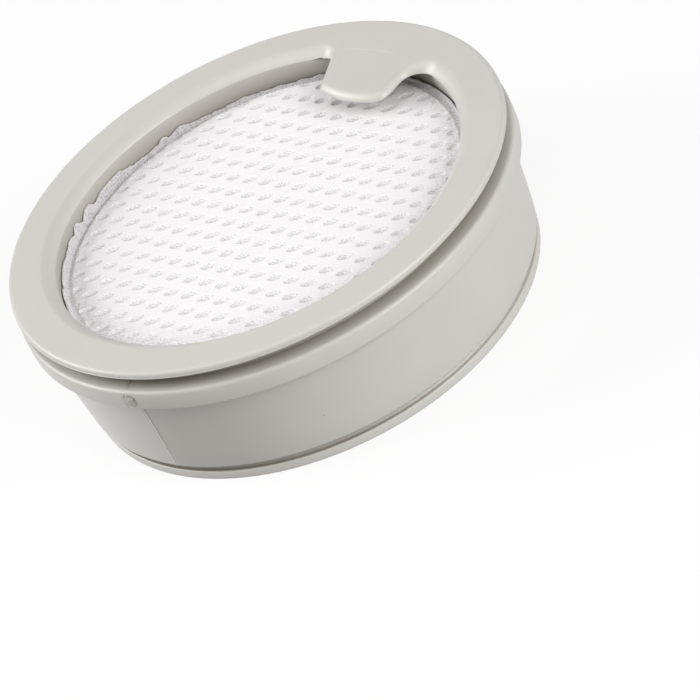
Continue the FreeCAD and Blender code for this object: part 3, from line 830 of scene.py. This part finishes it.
class FILTER_OT_glue_lines(bpy.types.Operator):
    """Two hot-melt lines across the pleat tips, sagging a little between them"""
    bl_idname = "filter.glue_lines"
    bl_label = "Glue Lines"

    STEPS = 120
    # The thread's section against the solid's half width and its height.
    FULLNESS = 0.8
    # In millimetres: sag between the tips, sideways stray, length of one stray, run of the tapered ends.
    SAG, STRAY, STRAY_LENGTH, TAPER_RUN = 0.45, 0.15, 3.0, 1.2

    def execute(self, context):
        settings = context.scene.filter_pack
        material = hot_melt(settings)
        for side in ("left", "right"):
            node = f"separator_bead_{side}"
            piece = finish_piece(self.thread(node, settings), f"glue_line_{side}", material)
            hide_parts(node)
        return {"FINISHED"}

    def thread(self, node, settings):
        """Flattened thread along Y, drawn out step by step from a round section."""
        low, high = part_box(node)
        middle, length = (low.x + high.x) / 2, high.y - low.y
        width, height = (high.x - low.x) / 2, high.z - low.z
        bm = bmesh.new()
        flat = Matrix.Diagonal((width * self.FULLNESS, 1, height * self.FULLNESS, 1))
        upright = Matrix.Rotation(math.pi / 2, 4, "X")
        start = Matrix.Translation((middle, low.y, high.z - 0.05 * MM))
        bmesh.ops.create_circle(
            bm, cap_ends=True, segments=12, radius=1.0, matrix=start @ flat @ upright)
        face = bm.faces[:]
        for step in range(self.STEPS):
            made = bmesh.ops.extrude_face_region(bm, geom=face)["geom"]
            # The first face closes the thread's start; later ones would lie inside it.
            if step:
                bmesh.ops.delete(bm, geom=face, context="FACES_ONLY")
            face = [g for g in made if isinstance(g, bmesh.types.BMFace)]
            bmesh.ops.translate(bm, verts=points_of(made), vec=(0, length / self.STEPS, 0))
        for vert in bm.verts:
            tip = math.cos(2 * math.pi * vert.co.y / settings.pitch)
            # Each thread has its own row of the noise.
            stray = noise.noise(Vector((middle * 900, vert.co.y / (self.STRAY_LENGTH * MM), 0)))
            from_end = min(vert.co.y - low.y, high.y - vert.co.y)
            end = min(1.0, (from_end + 0.3 * MM) / (self.TAPER_RUN * MM))
            wide = (1 + 0.25 * stray) * end
            vert.co.x = middle + (vert.co.x - middle) * wide + self.STRAY * MM * stray
            vert.co.z = high.z + (vert.co.z - high.z) * end + self.SAG * MM * (1 - tip) / 2
        bmesh.ops.recalc_face_normals(bm, faces=bm.faces)
        return bm


class FILTER_OT_stage(bpy.types.Operator):
    """White floor, soft studio light and the camera"""
    bl_idname = "filter.stage"
    bl_label = "Stage"

    # Soft boxes: name, turn and height of their direction in degrees, distance and size in metres, and
    # their watts.
    BOXES = (
        ("right_box", 4.0, 27.0, 0.9, 0.5, 5.6),
        ("left_box", -150.0, 27.0, 0.9, 0.5, 6.0),
        ("top_box", -60.0, 72.0, 0.4, 0.25, 0.32),
    )
    # The floor's glow right under the object and elsewhere, and the radii in millimetres between them.
    GLOW, GLOW_EDGE = (1.45, 0.72), (40.5, 41.2)
    ROOM_LIGHT = 0.2
    # Half the floor's width in metres, and how far it lies under the object in millimetres.
    FLOOR_REACH, FLOOR_DROP = 4.0, 0.05

    def execute(self, context):
        settings = context.scene.filter_stage
        context.scene.view_settings.view_transform = "Standard"
        self.lay_floor(settings)
        self.light_world(context)
        for box in self.BOXES:
            self.hang_box(*box)
        self.place_camera(context, settings)
        return {"FINISHED"}

    def seen_directly(self, tree):
        """Factor that is 1 on rays from the camera, a mirror or glass."""
        path = add(tree, "ShaderNodeLightPath").outputs
        sharp = combine(tree, "MAXIMUM", path["Is Glossy Ray"], path["Is Transmission Ray"])
        return combine(tree, "MAXIMUM", path["Is Camera Ray"], sharp)

    def lay_floor(self, settings):
        """White paper just under the object."""
        bm = bmesh.new()
        below = Matrix.Translation((0, 0, -self.FLOOR_DROP * MM))
        bmesh.ops.create_grid(bm, x_segments=1, y_segments=1, size=self.FLOOR_REACH, matrix=below)
        mesh = bpy.data.meshes.new("studio_floor")
        bm.to_mesh(mesh)
        bm.free()
        material, tree, place = new_material("paper_backdrop_white")
        # Glows evenly towards the object, and more right under it, so that its underside is lit too.
        near, far = (radius * MM for radius in self.GLOW_EDGE)
        glow = ramp(tree, measure(tree, "LENGTH", place), near, far, *self.GLOW)
        paper = add(tree, "ShaderNodeEmission", {
            "Color": linear(settings.floor_colour), "Strength": glow})
        shaded = add(tree, "ShaderNodeBsdfDiffuse", {"Color": (1, 1, 1, 1)})
        white = add(tree, "ShaderNodeEmission", {"Color": (1, 1, 1, 1), "Strength": 1.0})
        shown = add(tree, "ShaderNodeMixShader", {
            0: settings.shadow, 1: white.outputs[0], 2: shaded.outputs[0]})
        mixed = add(tree, "ShaderNodeMixShader", {
            0: self.seen_directly(tree), 1: paper.outputs[0], 2: shown.outputs[0]})
        # Seen from below, the floor is clear.
        under = add(tree, "ShaderNodeNewGeometry").outputs["Backfacing"]
        clear = add(tree, "ShaderNodeBsdfTransparent")
        one_sided = add(tree, "ShaderNodeMixShader", {
            0: under, 1: mixed.outputs[0], 2: clear.outputs[0]})
        add(tree, "ShaderNodeOutputMaterial", {"Surface": one_sided.outputs[0]})
        mesh.materials.append(material)
        link("studio_floor", mesh)

    def light_world(self, context):
        """Pale room light on the object, plain white where the room itself is seen."""
        world = bpy.data.worlds.new("studio_room")
        world.use_nodes = True
        tree = world.node_tree
        tree.nodes.clear()
        room = add(tree, "ShaderNodeBackground", {"Color": (1, 1, 1, 1), "Strength": self.ROOM_LIGHT})
        white = add(tree, "ShaderNodeBackground", {"Color": (1, 1, 1, 1), "Strength": 1.0})
        mixed = add(tree, "ShaderNodeMixShader", {
            0: self.seen_directly(tree), 1: room.outputs[0], 2: white.outputs[0]})
        add(tree, "ShaderNodeOutputWorld", {"Surface": mixed.outputs[0]})
        context.scene.world = world

    def hang_box(self, name, turn, height, distance, size, watts):
        """Square soft box that faces the object."""
        lamp = bpy.data.lights.new(name, "AREA")
        lamp.energy = watts
        lamp.size = size
        lamp.shape = "SQUARE"
        hung = link(name, lamp)
        level = math.radians(height)
        away = at_turn(math.radians(turn), math.cos(level), math.sin(level))
        hung.location = away * distance
        hung.rotation_euler = away.to_track_quat("Z", "Y").to_euler()

    def place_camera(self, context, settings):
        """Camera of the three-quarter view, turned about its line of sight."""
        data = bpy.data.cameras.new("photo_camera")
        data.lens = settings.lens
        data.sensor_width = 36.0
        data.clip_start = 0.01
        camera = link("photo_camera", data)
        back = at_turn(settings.azimuth, math.cos(settings.elevation), math.sin(settings.elevation))
        turned = back.to_track_quat("Z", "Y").to_matrix() @ Matrix.Rotation(settings.roll, 3, "Z")
        place = Vector(settings.aim) + back * settings.distance
        camera.matrix_world = Matrix.Translation(place) @ turned.to_4x4()
        context.scene.camera = camera


class FILTER_PT_build(bpy.types.Panel):
    """Lists the filter's pieces"""
    bl_idname = "FILTER_PT_build"
    bl_label = "Vacuum Filter"
    bl_space_type = "VIEW_3D"
    bl_region_type = "UI"
    bl_category = "Filter"

    def draw(self, context):
        for operator in OPERATORS:
            self.layout.operator(operator.bl_idname)


SETTINGS = {
    "filter_casing": CasingSettings,
    "filter_cloth": ClothSettings,
    "filter_pack": PackSettings,
    "filter_stage": StageSettings,
}
OPERATORS = (
    FILTER_OT_stage,
    FILTER_OT_casing,
    FILTER_OT_cloth,
    FILTER_OT_sealant,
    FILTER_OT_media,
    FILTER_OT_glue_lines,
)


def register():
    for name, group in SETTINGS.items():
        bpy.utils.register_class(group)
        setattr(bpy.types.Scene, name, bpy.props.PointerProperty(type=group))
    for operator in OPERATORS:
        bpy.utils.register_class(operator)
    bpy.utils.register_class(FILTER_PT_build)


def unregister():
    bpy.utils.unregister_class(FILTER_PT_build)
    for operator in reversed(OPERATORS):
        bpy.utils.unregister_class(operator)
    for name, group in SETTINGS.items():
        delattr(bpy.types.Scene, name)
        bpy.utils.unregister_class(group)


def main():
    register()
    bpy.ops.filter.stage()
    bpy.ops.filter.casing()
    bpy.ops.filter.cloth()
    bpy.ops.filter.sealant()
    bpy.ops.filter.media()
    bpy.ops.filter.glue_lines()


if __name__ == "__main__":
    main()
